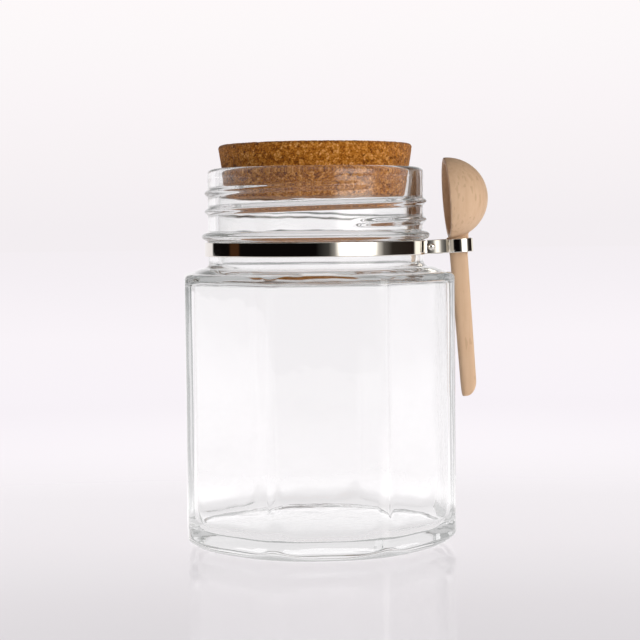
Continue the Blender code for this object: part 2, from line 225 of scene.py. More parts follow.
sees = add_node(tree, "ShaderNodeLightPath")
lights_a_face = math_node(tree, "GREATER_THAN", sees.outputs["Diffuse Depth"], ANY_BOUNCE)
in_box = product(
    tree,
    across(BOX_MIDDLE, BOX_HALF_WIDTH, BOX_BLUR),
    smooth_step(tree, rise, BOX_TOP, BOX_TOP - BOX_TOP_BLUR),
    smooth_step(tree, rise, BOX_FOOT, BOX_FOOT + BOX_FOOT_BLUR),
)
box_light = mix_colour(tree, lights_a_face, BOX_SEEN, BOX_LIGHT)
studio = mix_colour(tree, in_box, studio, box_light)
in_top = product(
    tree,
    across(TOP_LIGHT_MIDDLE, TOP_LIGHT_HALF_WIDTH, TOP_LIGHT_BLUR),
    smooth_step(tree, rise, TOP_LIGHT_FOOT, TOP_LIGHT_FOOT + TOP_LIGHT_RISE_BLUR),
    smooth_step(tree, rise, TOP_LIGHT_HEAD, TOP_LIGHT_HEAD - TOP_LIGHT_RISE_BLUR),
)
studio = mix_colour(tree, 1.0, studio, mix_colour(tree, in_top, DARK, TOP_LIGHT), "ADD")
print("the soft box is", round(math.degrees(2 * BOX_HALF_WIDTH)), "degrees wide")

# %% [markdown]
# In a studio a black flag stands where light isn't wanted. Here one keeps light off the left sides of
# cork and wood, which are dark in the picture. What is seen through glass is lifted towards white, as
# the pale wall fills most of it, and the camera itself sees only the wall, lighter towards the top.

# %% The flag, the fill in the glass and the wall
FLAG_RIGHT_SIDE = (0.0, -0.7)
FLAG_LEFT_SIDE = (-2.2, -1.5)
GLASS_FILL = 0.75
WALL_TOP = 0.135
WALL_STOPS = (
    (0.00, (0.896, 0.855, 0.880)), (0.30, (0.930, 0.888, 0.905)), (0.56, (0.956, 0.913, 0.930)),
    (0.82, (0.973, 0.939, 0.947)), (1.00, (0.991, 0.947, 0.956)),
)

in_flag = product(
    tree,
    smooth_step(tree, turn, *FLAG_RIGHT_SIDE),
    smooth_step(tree, turn, *FLAG_LEFT_SIDE),
    lights_a_face,
)
studio = mix_colour(tree, in_flag, studio, BLACK)
lights_nothing = math_node(tree, "SUBTRACT", 1.0, lights_a_face)
in_glass = math_node(tree, "GREATER_THAN", sees.outputs["Transmission Depth"], ANY_BOUNCE)
lifted = mix_colour(tree, GLASS_FILL, studio, PAPER_WHITE)
studio = mix_colour(tree, product(tree, in_glass, lights_nothing), studio, lifted)
wall = ramp_node(tree, math_node(tree, "DIVIDE", rise, WALL_TOP), WALL_STOPS)
seen = mix_colour(tree, sees.outputs["Is Camera Ray"], studio, wall)
tree.links.new(seen, background.inputs["Color"])
print("the studio's world has", len(tree.nodes), "nodes")

# %% [markdown]
# The jar stands on a sheet of glossy white board, which mirrors its foot faintly and runs on without
# an edge. The board is a large disc with a little glow of its own, since a plain white one would turn
# grey so far from the lamps. The glow follows the distance from the viewer, so that the board meets the
# wall without a line. It has one row of tones for the camera, and one for what shows in the glass.

# %% Tones of the board
BOARD_SIZE = 3.7
BOARD_CORNERS = 96
BOARD_MIDDLE_Y = 3.0
BOARD_DROP = 0.0002
BOARD_COLOUR = (0.22, 0.215, 0.22)
BOARD_ROUGHNESS = 0.07
BOARD_IOR = 1.30
BOARD_GLOW = 0.58
BOARD_GLOW_IN_GLASS = 0.60
BOARD_FADE = (0.10, 0.45)
BOARD_BEFORE = (0.68, 0.665, 0.67)
BOARD_TURN = (-0.35, -0.03)
VIEWER_Y = 0.54
NEAREST = 0.410
BEHIND_STOPS = (
    (0.00, (0.98, 0.95, 0.97)), (0.27, (0.985, 0.955, 0.975)), (0.41, (1.00, 0.97, 0.99)),
    (0.55, (0.89, 0.86, 0.88)), (0.60, (0.91, 0.88, 0.90)), (0.64, (1.10, 1.07, 1.09)),
    (0.68, (1.25, 1.22, 1.24)), (1.00, (1.25, 1.22, 1.24)),
)
BOARD_STOPS = (
    (0.00, (0.896, 0.855, 0.880)), (0.12, (0.913, 0.871, 0.905)), (0.27, (0.950, 0.907, 0.942)),
    (0.41, (0.940, 0.897, 0.940)), (0.55, (0.895, 0.852, 0.895)), (0.66, (0.840, 0.800, 0.835)),
    (0.77, (0.895, 0.850, 0.885)), (0.84, (0.900, 0.862, 0.895)), (0.92, (0.895, 0.853, 0.888)),
    (1.00, (0.905, 0.868, 0.903)),
)
print("the board is", 2 * BOARD_SIZE, "m across")

# %% The board
board_mesh = bpy.data.meshes.new("board")
builder = bmesh.new()
bmesh.ops.create_circle(builder, cap_ends=True, segments=BOARD_CORNERS, radius=BOARD_SIZE)
builder.to_mesh(board_mesh)
builder.free()
board = bpy.data.objects.new("board", board_mesh)
board.location = (0, BOARD_MIDDLE_Y, -BOARD_DROP)
scene.collection.objects.link(board)

# %% The finish of the board
board_look = bpy.data.materials.new("glossy_board")
board_look.use_nodes = True
tree = board_look.node_tree
shader = tree.nodes["Principled BSDF"]
shader.inputs["Base Color"].default_value = (*BOARD_COLOUR, 1.0)
shader.inputs["Roughness"].default_value = BOARD_ROUGHNESS
shader.inputs["IOR"].default_value = BOARD_IOR
shader.inputs["Emission Strength"].default_value = 1.0
spot = add_node(tree, "ShaderNodeNewGeometry").outputs["Position"]
axes = add_node(tree, "ShaderNodeSeparateXYZ")
tree.links.new(spot, axes.inputs[0])
nearness = math_node(tree, "DIVIDE", NEAREST, math_node(tree, "ADD", axes.outputs["Y"], VIEWER_Y))
paper = ramp_node(tree, nearness, BOARD_STOPS)
sees = add_node(tree, "ShaderNodeLightPath")
camera_ray = sees.outputs["Is Camera Ray"]
behind = smooth_step(tree, axes.outputs["Y"], *BOARD_TURN)
round_jar = mix_colour(tree, behind, BOARD_BEFORE, ramp_node(tree, nearness, BEHIND_STOPS))
near_glow = mix_colour(tree, 1.0, paper, tuple(3 * (BOARD_GLOW,)), "MULTIPLY")
near_rest = mix_colour(tree, 1.0, round_jar, tuple(3 * (BOARD_GLOW_IN_GLASS,)), "MULTIPLY")
tree.links.new(mix_colour(tree, camera_ray, near_rest, near_glow), shader.inputs["Emission Color"])
far = add_node(tree, "ShaderNodeVectorMath", operation="LENGTH")
tree.links.new(spot, far.inputs[0])
fade = smooth_step(tree, far.outputs["Value"], *BOARD_FADE)
far_glow = mix_colour(tree, camera_ray, round_jar, paper)
glow = add_node(tree, "ShaderNodeEmission")
tree.links.new(far_glow, glow.inputs["Color"])
mixer = add_node(tree, "ShaderNodeMixShader")
tree.links.new(fade, mixer.inputs["Fac"])
tree.links.new(shader.outputs["BSDF"], mixer.inputs[1])
tree.links.new(glow.outputs["Emission"], mixer.inputs[2])
tree.links.new(mixer.outputs["Shader"], tree.nodes["Material Output"].inputs["Surface"])
board_mesh.materials.append(board_look)
print("the board's finish has", len(tree.nodes), "nodes")

# %% [markdown]
# Most pieces are skins through rings of points: the glass, the cork and the strips alike. One function
# makes the skin, and one more gives the ring: an octagon with rounded corners, which turns into
# a circle as its corner radius grows. That is how the real jar's body goes over into its neck.

# %% A ring: an octagon with rounded corners
SIDES = 8
BODY_TURN = math.radians(27.5)


def body_ring(apothem, edge_radius, steps):
    """Points in plan round a rounded octagon, steps of them on each side."""
    edge_radius = min(edge_radius, apothem)
    half_angle = math.pi / SIDES
    corner_distance = (apothem - edge_radius) / math.cos(half_angle)
    flat_half = (apothem - edge_radius) * math.tan(half_angle)
    arc_share = 0.5 + 0.5 * edge_radius / apothem
    place = 2 * np.arange(steps) / steps - 1
    bend = half_angle * np.clip(place / arc_share, -1, 1)
    past = np.clip(np.abs(place) - arc_share, 0, None) / max(1 - arc_share, 1e-9)
    out = corner_distance + edge_radius * np.cos(bend) - math.sin(half_angle) * flat_half * past
    side = edge_radius * np.sin(bend) + np.sign(place) * math.cos(half_angle) * flat_half * past
    heading = (BODY_TURN + 2 * half_angle * np.arange(SIDES))[:, None]
    x = out * np.sin(heading) + side * np.cos(heading)
    y = -out * np.cos(heading) + side * np.sin(heading)
    return np.column_stack([x.ravel(), y.ravel()])


print("the body's nearest edge is turned", round(math.degrees(BODY_TURN), 1), "degrees from the front")


# %% A skin through rings
def skin(rows):
    """Vertices and faces of the skin through rows of points, with a fan over each end."""
    count = rows.shape[1]
    points = [rows.reshape(-1, 3)]
    start = np.arange(len(rows) - 1)[:, None] * count
    here, after = np.arange(count), (np.arange(count) + 1) % count
    corners = np.stack([start + here, start + after, start + count + after, start + count + here], axis=-1)
    faces = corners.reshape(-1, 4).tolist()
    total = rows.shape[0] * count
    last = total - count
    points.append(rows[0].mean(0)[None])
    faces += [[total, int(b), int(a)] for a, b in zip(here, after)]
    points.append(rows[-1].mean(0)[None])
    faces += [[total + 1, last + int(a), last + int(b)] for a, b in zip(here, after)]
    return np.vstack(points), faces


# %% A piece, from points and faces
SHARP_ANGLE = math.radians(50)


def make_piece(name, points, faces, look, node, place=None):
    """An object from points and faces, which stands for one solid of the frame and rides with it."""
    mesh = bpy.data.meshes.new(name)
    mesh.from_pydata([tuple(p) for p in points], [], faces)
    if place is not None:
        mesh.transform(place)
    mesh.validate()
    builder = bmesh.new()
    builder.from_mesh(mesh)
    bmesh.ops.recalc_face_normals(builder, faces=builder.faces)
    builder.to_mesh(mesh)
    builder.free()
    mesh.shade_smooth()
    mesh.set_sharp_from_angle(angle=SHARP_ANGLE)
    mesh.materials.append(look)
    piece = bpy.data.objects.new(name, mesh)
    scene.collection.objects.link(piece)
    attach(piece, "root")
    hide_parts(node)
    print(name, "has", len(mesh.polygons), "faces")


# %% Soft steps and arcs
def ease(low, high, share):
    """From low to high as share goes from 0 to 1, slowly at both ends."""
    share = np.clip(share, 0.0, 1.0)
    return low + (high - low) * share * share * (3 - 2 * share)


def arc(centre_r, centre_z, radius, start, end, steps):
    """Points (r, z) on an arc of a profile, in degrees from the outward direction."""
    angles = np.radians(np.linspace(start, end, steps + 1))
    return list(zip(centre_r + radius * np.cos(angles), centre_z + radius * np.sin(angles)))


# %% [markdown]
# The jar is pressed glass: an eight-sided body with soft upright edges, a shoulder, and a round
# neck with a bead and two turns of screw thread. A lathe shape could not give the sides, and
# cutting flats with Booleans would leave hard creases, so the whole wall is one skin of rings, out
# over the rim and down again inside. The thread is a swelling of the neck that climbs as it goes round.

# %% Sizes of the jar's body
BODY_APOTHEM = 0.0417
BODY_EDGE_RADIUS = 0.0062
WALL = 0.0030
HEEL_RADIUS = 0.0030
HEEL_EDGE_RADIUS = 0.0330
HEEL_BLEND_HEIGHT = 0.0042
SHOULDER_Z = 0.0849
SHOULDER_RADIUS = 0.0018
SHOULDER_RISE = 0.0015
SHOULDER_EDGE_GROWTH = 0.25


def body_edge(z):
    """The radius of the body's upright edges, which is large at the heel."""
    return ease(HEEL_EDGE_RADIUS, BODY_EDGE_RADIUS, z / HEEL_BLEND_HEIGHT)


print("the body is", round(2000 * BODY_APOTHEM, 1), "mm across its flats")

# %% Sizes of the neck
NECK_RADIUS = 0.0340
NECK_BORE = 0.0302
NECK_FOOT_FILLET = 0.0017
RIM_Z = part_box("jar")[1].z
RIM_ROUNDING = 0.0015
MOUTH_ROUNDING = 0.0008
BEAD_RADIUS = 0.0361
BEAD_Z = 0.0963
BEAD_HALF_HEIGHT = 0.00145
BEAD_ARC = 80
BEAD_FOOT_SHARE = 1.15
print("the jar is", round(1000 * RIM_Z, 1), "mm tall")

# %% The screw thread
THREAD_HEIGHT = 0.0011
THREAD_WIDTH = 0.0031
THREAD_PITCH = 0.0057
THREAD_FRONT_Z = 0.0998
THREAD_START = math.radians(17)
THREAD_END = math.radians(751)
THREAD_FADE = math.radians(30)


def thread_swell(angle, z):
    """How far the thread stands out of the neck at these angles (from the front) and heights."""
    swell = np.zeros(np.broadcast(angle, z).shape)
    for turn in range(-1, 4):
        along = angle + 2 * math.pi * turn
        middle = THREAD_FRONT_Z + THREAD_PITCH * along / (2 * math.pi)
        away = np.clip(np.abs(z - middle) / (THREAD_WIDTH / 2), 0, 1)
        from_end = np.minimum(along - THREAD_START, THREAD_END - along)
        swell += THREAD_HEIGHT * ease(0, 1, from_end / THREAD_FADE) * np.cos(0.5 * math.pi * away) ** 2
    return swell


print("the thread makes", round((THREAD_END - THREAD_START) / (2 * math.pi), 1), "turns")

# %% The outside of the jar
FOOT_SHARES = (0.2, 0.4, 0.6, 0.8, 0.9)
HEEL_RINGS = 14
BLEND_RINGS = 7
WALL_RINGS = 42
SHOULDER_RINGS = 12
SHOULDER_ARC_END = 84
SLOPE_RINGS = 8
FILLET_RINGS = 8
NECK_RINGS = 10
BEAD_RINGS = 14
THREAD_RINGS = 72
RIM_RINGS = 8


def outer_body_profile():
    """(apothem, edge radius, z) of each ring from the middle of the foot up to the neck's foot."""
    foot = BODY_APOTHEM - HEEL_RADIUS
    rows = [(share * foot, HEEL_EDGE_RADIUS, 0.0) for share in FOOT_SHARES]
    rows += [(r, body_edge(z), z) for r, z in arc(foot, HEEL_RADIUS, HEEL_RADIUS, -90, 0, HEEL_RINGS)]
    edge_z = SHOULDER_Z - SHOULDER_RADIUS
    blend_heights = np.linspace(HEEL_RADIUS, HEEL_BLEND_HEIGHT, BLEND_RINGS)[1:]
    wall_heights = np.linspace(HEEL_BLEND_HEIGHT, edge_z, WALL_RINGS)[1:-1]
    rows += [(BODY_APOTHEM, body_edge(z), z) for z in (*blend_heights, *wall_heights)]
    edge_r = BODY_APOTHEM - SHOULDER_RADIUS
    for r, z in arc(edge_r, edge_z, SHOULDER_RADIUS, 0, SHOULDER_ARC_END, SHOULDER_RINGS):
        share = (BODY_APOTHEM - r) / SHOULDER_RADIUS
        rows.append((r, BODY_EDGE_RADIUS + SHOULDER_EDGE_GROWTH * share * BODY_APOTHEM, z))
    fillet_r = NECK_RADIUS + NECK_FOOT_FILLET
    last_r, last_edge, last_z = rows[-1]
    for share in np.linspace(0, 1, SLOPE_RINGS)[1:-1]:
        r = last_r + (fillet_r - last_r) * share
        z = ease(last_z, SHOULDER_Z + SHOULDER_RISE, share)
        rows.append((r, last_edge + (r - last_edge) * ease(0, 1, share), z))
    return rows


def outer_neck_profile():
    """(r, z) of each ring of the neck, up to the top of its rim."""
    fillet_r = NECK_RADIUS + NECK_FOOT_FILLET
    fillet_z = SHOULDER_Z + SHOULDER_RISE + NECK_FOOT_FILLET
    bead_foot = BEAD_Z - BEAD_FOOT_SHARE * BEAD_HALF_HEIGHT
    bead_head = BEAD_Z + BEAD_FOOT_SHARE * BEAD_HALF_HEIGHT
    thread_high = RIM_Z - RIM_ROUNDING
    neck = arc(fillet_r, fillet_z, NECK_FOOT_FILLET, 270, 180, FILLET_RINGS)
    neck += [(NECK_RADIUS, z) for z in np.linspace(fillet_z, bead_foot, NECK_RINGS)[1:]]
    for cos, sin in arc(0, 0, 1, -BEAD_ARC, BEAD_ARC, BEAD_RINGS):
        neck.append((NECK_RADIUS + (BEAD_RADIUS - NECK_RADIUS) * cos, BEAD_Z + BEAD_HALF_HEIGHT * sin))
    neck += [(NECK_RADIUS, z) for z in np.linspace(bead_head, thread_high, THREAD_RINGS)[:-1]]
    neck += arc(NECK_RADIUS - RIM_ROUNDING, thread_high, RIM_ROUNDING, 0, 90, RIM_RINGS)
    return neck


outer_rings = outer_body_profile() + [(r, r, z) for r, z in outer_neck_profile()]
print("the outside has", len(outer_rings), "rings")

# %% Sizes of the jar's inside
FLOOR_THICKNESS = 0.0052
FLOOR_DIP = 0.0003
FLOOR_MIDDLE_SHARE = 0.06
FLOOR_EDGE_SHARE = 0.6
INNER_HEEL_RADIUS = 0.0045
INNER_HEEL_BLEND_HEIGHT = 0.0130
INNER_HEEL_ARC_END = -86
INNER_EDGE_RADIUS = 0.0044
SHOULDER_UNDERSIDE_Z = 0.0827
INNER_SHOULDER_RADIUS = 0.0015
INNER_SHOULDER_ARC_START = 88
THROAT_HEIGHT = 0.0045
THROAT_SPREAD = 1.2
THROAT_DROP = 2.2
MOUTH_RINGS = 6
BORE_RINGS = 30
THROAT_RINGS = 16
INNER_SHOULDER_RINGS = 10
INNER_BLEND_RINGS = 8
INNER_HEEL_RINGS = 12
FLOOR_RINGS = 16


def inner_edge(z):
    """The radius of the inside's upright edges, which is large at the floor."""
    return ease(HEEL_EDGE_RADIUS, INNER_EDGE_RADIUS, z / INNER_HEEL_BLEND_HEIGHT)


print("the floor is", round(1000 * FLOOR_THICKNESS, 1), "mm thick")


# %% The inside of the jar
def inner_neck_profile():
    """(apothem, edge radius, z) of each ring from the mouth down to where the body opens out."""
    mouth_z = RIM_Z - MOUTH_ROUNDING
    neck = arc(NECK_BORE + MOUTH_ROUNDING, mouth_z, MOUTH_ROUNDING, 90, 180, MOUTH_RINGS)
    throat_z = SHOULDER_UNDERSIDE_Z + THROAT_HEIGHT
    neck += [(NECK_BORE, z) for z in np.linspace(neck[-1][1], throat_z, BORE_RINGS)[1:]]
    rows = [(r, r, z) for r, z in neck]
    apothem = BODY_APOTHEM - WALL
    reach = apothem - INNER_SHOULDER_RADIUS
    top_edge = INNER_EDGE_RADIUS + SHOULDER_EDGE_GROWTH * apothem
    for share in np.linspace(0, 1, THROAT_RINGS)[1:-1]:
        r = NECK_BORE + (reach - NECK_BORE) * ease(0, 1, share) ** THROAT_SPREAD
        z = throat_z + (SHOULDER_UNDERSIDE_Z - throat_z) * (1 - (1 - share) ** THROAT_DROP)
        rows.append((r, r + (top_edge - r) * ease(0, 1, share), z))
    return rows


def inner_body_profile():
    """(apothem, edge radius, z) of each ring from under the shoulder down to the middle of the floor."""
    apothem = BODY_APOTHEM - WALL
    corner = INNER_SHOULDER_RADIUS
    reach, corner_z = apothem - corner, SHOULDER_UNDERSIDE_Z - corner
    rows = []
    for r, z in arc(reach, corner_z, corner, INNER_SHOULDER_ARC_START, 0, INNER_SHOULDER_RINGS):
        share = (apothem - r) / corner
        rows.append((r, INNER_EDGE_RADIUS + SHOULDER_EDGE_GROWTH * share * apothem, z))
    heel_z = FLOOR_THICKNESS + INNER_HEEL_RADIUS
    wall_heights = np.linspace(rows[-1][2], INNER_HEEL_BLEND_HEIGHT, WALL_RINGS)[1:]
    blend_heights = np.linspace(INNER_HEEL_BLEND_HEIGHT, heel_z, INNER_BLEND_RINGS)[1:-1]
    rows += [(apothem, inner_edge(z), z) for z in (*wall_heights, *blend_heights)]
    reach = apothem - INNER_HEEL_RADIUS
    for r, z in arc(reach, heel_z, INNER_HEEL_RADIUS, 0, INNER_HEEL_ARC_END, INNER_HEEL_RINGS):
        rows.append((r, inner_edge(z), z))
    last_z = rows[-1][2]
    for share in np.linspace(1, FLOOR_MIDDLE_SHARE, FLOOR_RINGS)[1:]:
        rows.append((reach * share, FLOOR_EDGE_SHARE * reach * share, last_z - FLOOR_DIP * (1 - share**2)))
    return rows


inner_rings = inner_neck_profile() + inner_body_profile()
print("the inside has", len(inner_rings), "rings")

# %% [markdown]
# Pressed glass is never quite even. Its inside was shaped by a plunger and cooled freely, so the wall
# swells and thins by a tenth of a millimetre or two, and that bends what is seen through it. A few
# slow waves laid round and up the wall give this, stronger inside than outside. Round the inner heel,
# where the glass is thick and cools last, they are stronger still.

# %% Waves in the glass
OUTER_WAVE = 0.00003
INNER_WAVE = 0.00012
WAVE_CLEAR_OF_FLOOR = 0.002
WAVE_CLEAR_OF_RIM = 0.003
# Each wave: its share, how often it comes round the jar, how fast it climbs, and where it starts.
WAVES = ((0.40, 3, 95, 0.7), (0.30, 5, -140, 2.1), (0.20, 9, 60, 4.0), (0.15, 14, -210, 0.0))


def glass_wave(angle, z):
    """A slow, uneven swell over the wall, between about -1 and 1."""
    return sum(share * np.sin(times * angle + climb * z + start) for share, times, climb, start in WAVES)


print("the wall swells by up to", round(2000 * INNER_WAVE, 2), "mm inside")

# %% Waves round the inner heel
HEEL_WAVE = 0.00040
HEEL_WAVE_REACH = 0.007
HEEL_WAVE_AROUND = 1.6
HEEL_WAVE_CLIMB = 3
HEEL_WAVE_MIDDLE = 0.5


def heel_swell(angle, z):
    """How far the inside bulges outward near the floor, alike on the left and the right."""
    fade = ease(1, 0, (z - FLOOR_THICKNESS) / HEEL_WAVE_REACH)
    wave = glass_wave(HEEL_WAVE_AROUND * np.abs(angle), HEEL_WAVE_CLIMB * z)
    return HEEL_WAVE * fade * (wave - HEEL_WAVE_MIDDLE)


print("round the inner heel it swells by up to", round(1000 * HEEL_WAVE, 2), "mm")


# %% Every ring of the jar, with its thread and its waves
JAR_STEPS = 40
THREAD_CLEAR_OF_BEAD = 0.002


def jar_rows():
    """Every ring of the jar, out over the rim and in again, as points in space."""
    rows = []
    for index, (apothem, edge_radius, z) in enumerate(outer_rings + inner_rings):
        ring = body_ring(apothem, edge_radius, JAR_STEPS)
        angle = np.arctan2(ring[:, 0], -ring[:, 1])
        radius = np.hypot(ring[:, 0], ring[:, 1])
        is_outer = index < len(outer_rings)
        grow = np.zeros(len(ring))
        if is_outer and BEAD_Z + THREAD_CLEAR_OF_BEAD < z < RIM_Z - RIM_ROUNDING / 2:
            grow += thread_swell(angle, z)
        if not is_outer and z < INNER_HEEL_BLEND_HEIGHT:
            grow += heel_swell(angle, z)
        if FLOOR_THICKNESS + WAVE_CLEAR_OF_FLOOR < z < RIM_Z - WAVE_CLEAR_OF_RIM:
            grow -= (OUTER_WAVE if is_outer else INNER_WAVE) * (1 + glass_wave(angle, z))
        points = ring * (1 + grow / radius)[:, None]
        rows.append(np.column_stack([points, np.full(len(ring), z)]))
    return np.array(rows)


jar_points, jar_faces = skin(jar_rows())
print("the jar's skin has", len(jar_points), "points")

# %% [markdown]
# Glass needs little colour: a breath of green that gathers where the wall is seen edge on. Its
# shader is a Principled one with full transmission. Light on its way to the cork and the board is let
# through by a Transparent shader, as real glass hardly shades what stands behind it. A ray that has
# met more than four surfaces goes straight on too, through a painted grey shade that deepens towards
# the shoulder. That stands for the light lost on long ways inside thick glass, and keeps the jar's edges
# soft.

# %% The look of glass
def new_look(name):
    """A new material with nodes, then its node tree and its Principled shader."""
    look = bpy.data.materials.new(name)
    look.use_nodes = True
    return look, look.node_tree, look.node_tree.nodes["Principled BSDF"]


DEEPEST_RAY = 4.5
# Painted shade for the deepest rays: a grey that darkens up the jar, most at the shoulder and above.
PAINTED_DEEP_SHADE_STOPS = (
    (0.08, (0.920, 0.927, 0.923)), (0.20, (0.860, 0.868, 0.864)), (0.60, (0.800, 0.812, 0.807)),
    (0.68, (0.680, 0.695, 0.690)),
)
GLASS_TINT = (0.72, 0.738, 0.730)
GLASS_DENSITY = 8.0

glass_look, tree, shader = new_look("clear_pressed_glass")
shader.inputs["Base Color"].default_value = (0.994, 0.997, 0.996, 1.0)
shader.inputs["Roughness"].default_value = 0.0
shader.inputs["IOR"].default_value = 1.50
shader.inputs["Transmission Weight"].default_value = 1.0
ripple = add_node(tree, "ShaderNodeTexNoise", Scale=90.0, Detail=2.0, Roughness=0.4)
where = add_node(tree, "ShaderNodeTexCoord").outputs["Object"]
tree.links.new(where, ripple.inputs["Vector"])
dimple = add_node(tree, "ShaderNodeBump", Strength=0.25, Distance=0.0004)
tree.links.new(ripple.outputs["Fac"], dimple.inputs["Height"])
tree.links.new(dimple.outputs["Normal"], shader.inputs["Normal"])
light_path = add_node(tree, "ShaderNodeLightPath")
# Painted shade: rays past the deepest bounce pass through this grey, darker towards the shoulder.
painted_deep_shade = add_node(tree, "ShaderNodeBsdfTransparent")
axes = add_node(tree, "ShaderNodeSeparateXYZ")
tree.links.new(where, axes.inputs[0])
up_the_jar = math_node(tree, "DIVIDE", axes.outputs["Z"], RIM_Z)
tree.links.new(ramp_node(tree, up_the_jar, PAINTED_DEEP_SHADE_STOPS), painted_deep_shade.inputs["Color"])
deep_ray = math_node(tree, "GREATER_THAN", light_path.outputs["Ray Depth"], DEEPEST_RAY)
inner_mixer = add_node(tree, "ShaderNodeMixShader")
tree.links.new(deep_ray, inner_mixer.inputs["Fac"])
tree.links.new(shader.outputs["BSDF"], inner_mixer.inputs[1])
tree.links.new(painted_deep_shade.outputs["BSDF"], inner_mixer.inputs[2])
let_through = add_node(tree, "ShaderNodeBsdfTransparent")
mixer = add_node(tree, "ShaderNodeMixShader")
tree.links.new(light_path.outputs["Is Shadow Ray"], mixer.inputs["Fac"])
tree.links.new(inner_mixer.outputs["Shader"], mixer.inputs[1])
tree.links.new(let_through.outputs["BSDF"], mixer.inputs[2])
tree.links.new(mixer.outputs["Shader"], tree.nodes["Material Output"].inputs["Surface"])
tint = add_node(tree, "ShaderNodeVolumeAbsorption", Color=(*GLASS_TINT, 1.0), Density=GLASS_DENSITY)
tree.links.new(tint.outputs["Volume"], tree.nodes["Material Output"].inputs["Volume"])


# %% The jar
make_piece("glass_jar", jar_points, jar_faces, glass_look, "jar")

# %% [markdown]
# The stopper is cork ground to crumbs and pressed with a binder, so its surface is a patchwork of
# grains with dark pits between them. Colour alone would leave its outline too smooth. The
# skin is fine enough to carry the crumbs as relief, cut in from the size of the solid.

# %% The stopper's outline
CORK_LOW, CORK_HIGH = (corner.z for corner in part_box("stopper"))
CORK_TOP_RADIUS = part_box("stopper")[1].x
CORK_BOTTOM_RADIUS = 0.0282
CORK_EDGE = 0.0012
CORK_ARC_END = 84
CORK_ARC_RINGS = 6
CORK_SIDE_RINGS = 40
CORK_FLAT_RINGS = 34
CORK_FLAT_START = 0.03
CORK_FLAT_END = 0.95


def cork_profile():
    """(r, z) of each ring of the stopper, from the middle of its foot to the middle of its top."""
    flat = np.linspace(CORK_FLAT_START, CORK_FLAT_END, CORK_FLAT_RINGS)
    foot_centre = (CORK_BOTTOM_RADIUS - CORK_EDGE, CORK_LOW + CORK_EDGE)
    top_centre = (CORK_TOP_RADIUS - CORK_EDGE, CORK_HIGH - CORK_EDGE)
    foot = [(CORK_BOTTOM_RADIUS * s, CORK_LOW) for s in flat]
    low = arc(*foot_centre, CORK_EDGE, -CORK_ARC_END, 0, CORK_ARC_RINGS)
    high = arc(*top_centre, CORK_EDGE, 0, CORK_ARC_END, CORK_ARC_RINGS)
    side = [
        (low[-1][0] + (high[0][0] - low[-1][0]) * s, low[-1][1] + (high[0][1] - low[-1][1]) * s)
        for s in np.linspace(0, 1, CORK_SIDE_RINGS)[1:-1]
    ]
    top = [(CORK_TOP_RADIUS * s, CORK_HIGH) for s in flat[::-1]]
    return foot + low + side + high + top


print("the stopper is", round(1000 * (CORK_HIGH - CORK_LOW), 1), "mm tall")

# %% Crumbs as relief
GRAIN = 0.0011
PIT_DEPTH = 0.00030
JOINT_WIDTH = 0.22
JOINT_DEPTH = 0.45
LOST_SIZE = 1.4
LOST_FROM = 0.28
LOST_DEPTH = 2.2
FINE_SIZE = 0.25
FINE_DEPTH = 0.25


def crumb_depth(point):
    """How deep the surface lies here: the joints between crumbs, some lost crumbs, and a fine grain."""
    distances = noise.voronoi(point / GRAIN)[0]
    joint = max(0.0, 1 - (distances[1] - distances[0]) / JOINT_WIDTH)
    lost = max(0.0, noise.noise(point / (LOST_SIZE * GRAIN)) - LOST_FROM) * LOST_DEPTH
    fine = 0.5 + 0.5 * noise.noise(point / (FINE_SIZE * GRAIN))
    return PIT_DEPTH * min(1.0, JOINT_DEPTH * joint + lost + FINE_DEPTH * fine)


print("the deepest pits are", round(1000 * PIT_DEPTH, 2), "mm deep")

# %% The skin of the stopper
CORK_AROUND = 400


def cork_rows():
    """Every ring of the stopper, pressed in by the depth of its crumbs."""
    angles = np.linspace(0, 2 * math.pi, CORK_AROUND, endpoint=False)
    profile = cork_profile()
    rows = []
    for i, (r, z) in enumerate(profile):
        before = profile[max(i - 1, 0)]
        after = profile[min(i + 1, len(profile) - 1)]
        along = Vector((after[0] - before[0], after[1] - before[1])).normalized()
        ring = []
        for angle in angles:
            outward = Vector((math.sin(angle), -math.cos(angle), 0))
            point = outward * r + Vector((0, 0, z))
            normal = outward * along.y - Vector((0, 0, along.x))
            ring.append(point - normal * crumb_depth(point))
        rows.append(ring)
    return np.array(rows)


cork_points, cork_faces = skin(cork_rows())
print("the stopper's skin has", len(cork_points), "points")

# %% [markdown]
# Cork and wood share one effect: small grains of uneven tone. It is a node group that takes the place
# on the surface and a grain size, and gives a value for each grain, a mask for the joints between
# grains, and a fine mottle. Each look then mixes its own colours with them.

# %% A node group for grains
JOINT_SHARE = 0.09
MOTTLE_FINENESS = 2.2


